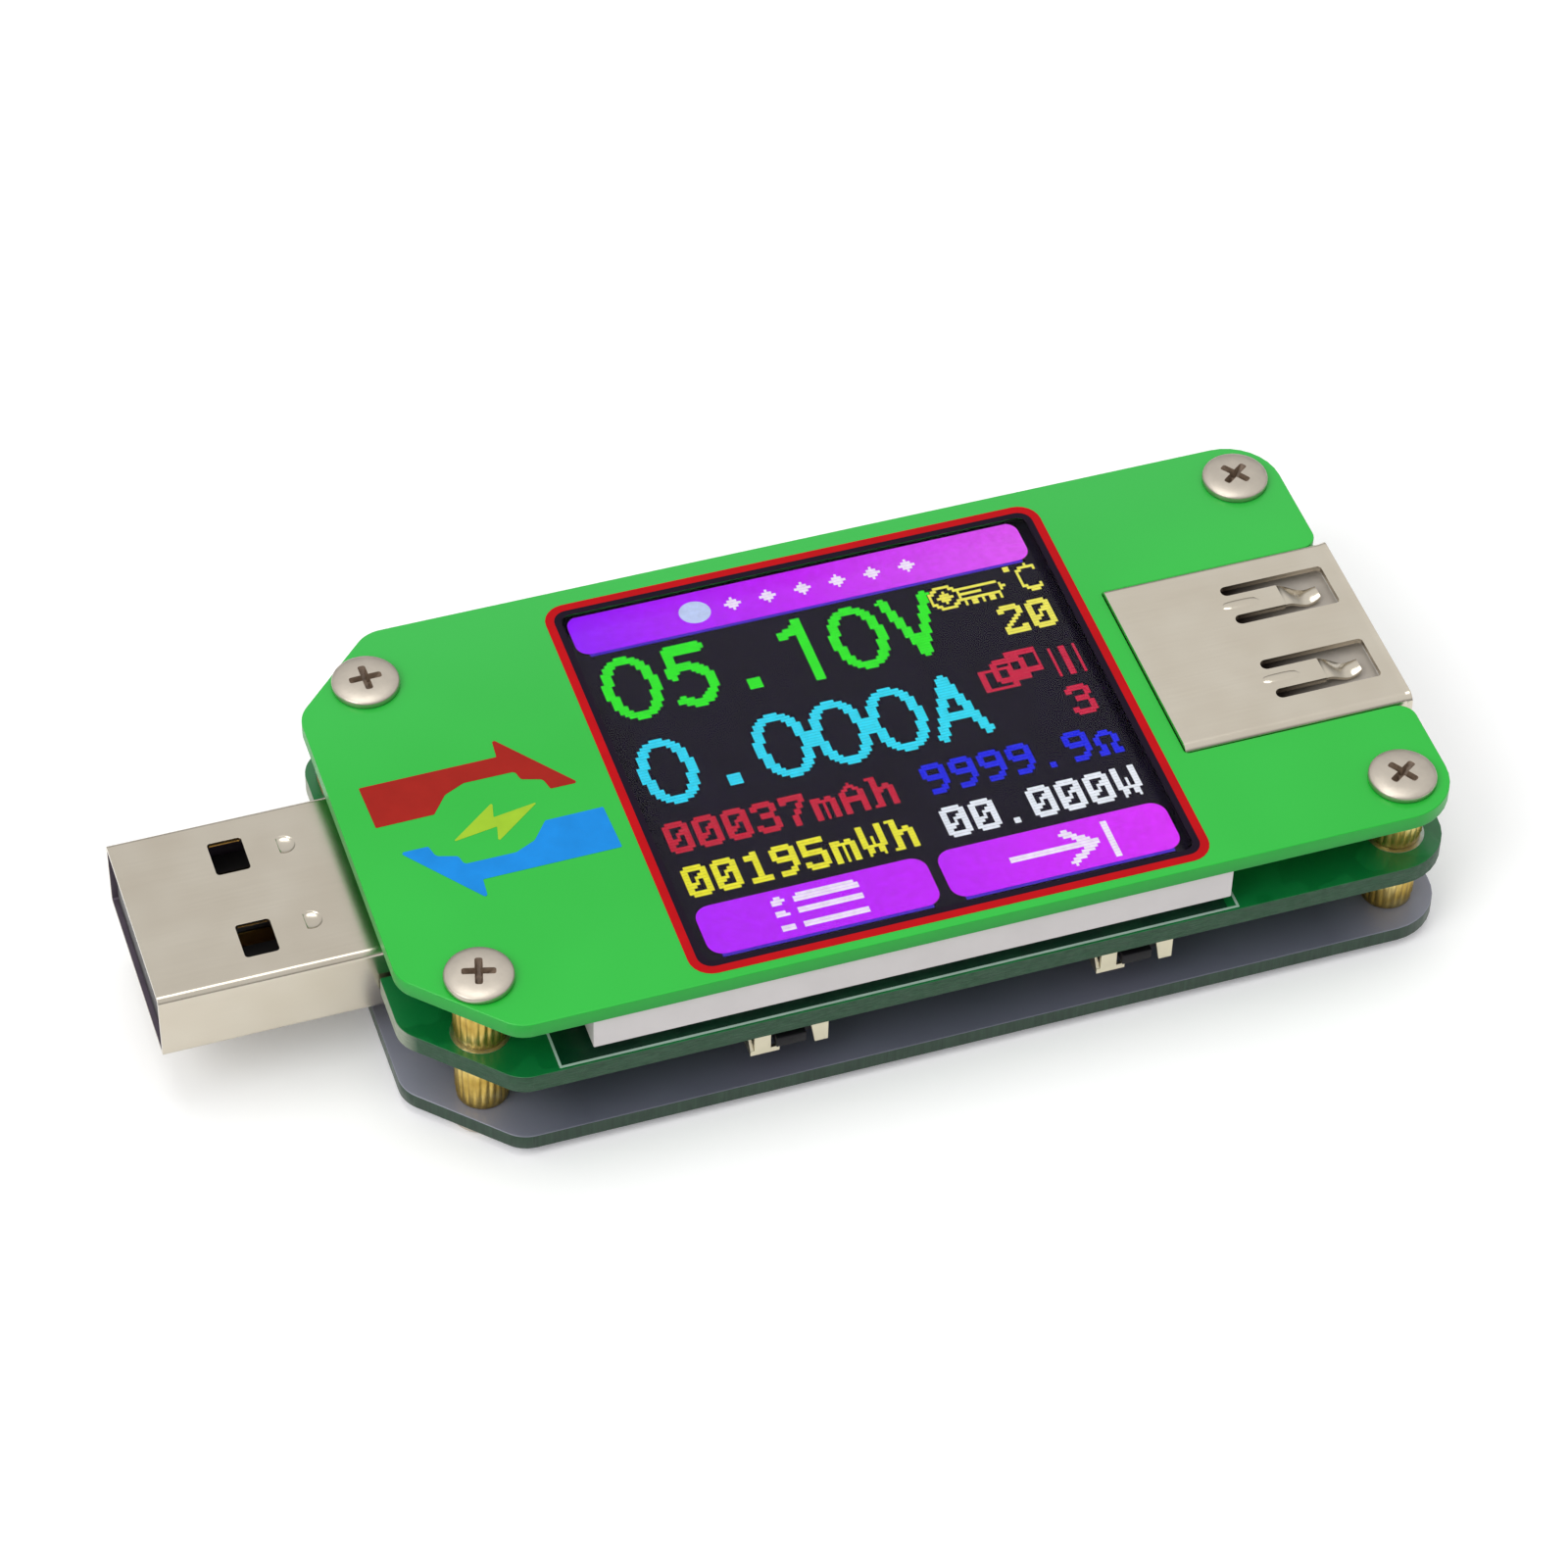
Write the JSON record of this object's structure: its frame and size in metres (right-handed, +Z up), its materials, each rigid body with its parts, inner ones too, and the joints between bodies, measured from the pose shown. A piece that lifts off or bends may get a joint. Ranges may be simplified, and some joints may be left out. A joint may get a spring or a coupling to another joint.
{
  "type": "usb power meter",
  "caption": "Pocket pass-through USB power meter: stacked plates on brass standoffs, a USB-A plug, a USB-A socket, side keys and a colour display under a green cover sheet.",
  "frame": {"origin": "centre of the footprint, at the bottom screw heads that the meter rests on", "axes": "+X from the plug to the socket, +Y to the rear side with the micro USB inlet, +Z up through the display"},
  "size_m": [0.0712, 0.0306, 0.0113],
  "materials": {
    "cover_acrylic": "glossy printed acrylic sheet",
    "bottom_acrylic": "glossy dark grey sheet with dark green edges",
    "circuit_board": "green solder mask over glass fibre",
    "knurled_brass": "straight-knurled, machined",
    "screw_steel": "nickel-plated steel",
    "nickel_shell": "warm nickel-plated stamped sheet",
    "connector_white": "moulded nylon",
    "connector_black": "moulded nylon",
    "contact_gold": "gold-plated",
    "frame_white": "satin moulded frame",
    "reflector_film": "mirror-white film",
    "light_guide": "clear moulded acrylic",
    "led_lens": "phosphor lens",
    "display_glass": "dark display glass",
    "polariser_film": "dark film",
    "bare_silicon": "polished silicon",
    "flex_film": "amber polyimide",
    "foam_tape": "foam",
    "key_black": "moulded key",
    "switch_black": "moulded housing",
    "switch_metal": "tinned stamped sheet",
    "chip_black": "moulded epoxy",
    "tinned_copper": "tinned leads",
    "ferrite_grey": "ferrite",
    "crystal_can": "plated can",
    "ceramic_tan": "fired ceramic",
    "tantalum_yellow": "moulded epoxy",
    "resistor_black": "glazed film",
    "solder": "bright solder"
  },
  "bodies": {
    "meter": {"top_cover": "cover_acrylic", "bottom_cover": "bottom_acrylic", "main_board": "circuit_board", "upper_standoffs": "knurled_brass", "lower_standoffs": "knurled_brass", "top_screws": "screw_steel", "bottom_screws": "screw_steel", "usb_plug_shell": "nickel_shell", "usb_plug_insulator": "connector_black", "usb_plug_contacts": "contact_gold", "usb_socket_shell": "nickel_shell", "usb_socket_insulator": "connector_white", "usb_socket_contacts": "contact_gold", "micro_usb_shell": "nickel_shell", "micro_usb_insulator": "connector_black", "micro_usb_contacts": "contact_gold", "display_frame": "frame_white", "display_reflector": "reflector_film", "display_light_guide": "light_guide", "display_leds": "led_lens", "display_rear_glass": "display_glass", "display_front_glass": "display_glass", "display_polariser": "polariser_film", "display_driver_chip": "bare_silicon", "display_flex": "flex_film", "display_foam_pads": "foam_tape", "switch_housings": "switch_black", "switch_brackets": "switch_metal", "switch_domes": "switch_metal", "switch_terminals": "tinned_copper", "microcontroller": "chip_black", "power_mosfets": "chip_black", "voltage_regulator": "chip_black", "current_amplifier": "chip_black", "flash_memory": "chip_black", "temperature_sensor": "chip_black", "chip_leads": "tinned_copper", "current_shunt": "ferrite_grey", "inductor": "ferrite_grey", "crystal": "crystal_can", "ceramic_capacitors": "ceramic_tan", "tantalum_capacitors": "tantalum_yellow", "chip_resistors": "resistor_black", "solder_joints": "solder"},
    "front_left_key": {"front_left_button": "key_black"},
    "front_right_key": {"front_right_button": "key_black"},
    "rear_left_key": {"rear_left_button": "key_black"},
    "rear_right_key": {"rear_right_button": "key_black"}
  },
  "joints": [
    {"name": "front_left_press", "type": "slide", "parent": "meter", "child": "front_left_key", "axis": [0, 1, 0], "range_m": [0, 0.00025], "stiffness_N_per_m": 600},
    {"name": "front_right_press", "type": "slide", "parent": "meter", "child": "front_right_key", "axis": [0, 1, 0], "range_m": [0, 0.00025], "stiffness_N_per_m": 600},
    {"name": "rear_left_press", "type": "slide", "parent": "meter", "child": "rear_left_key", "axis": [0, -1, 0], "range_m": [0, 0.00025], "stiffness_N_per_m": 600},
    {"name": "rear_right_press", "type": "slide", "parent": "meter", "child": "rear_right_key", "axis": [0, -1, 0], "range_m": [0, 0.00025], "stiffness_N_per_m": 600}
  ]
}
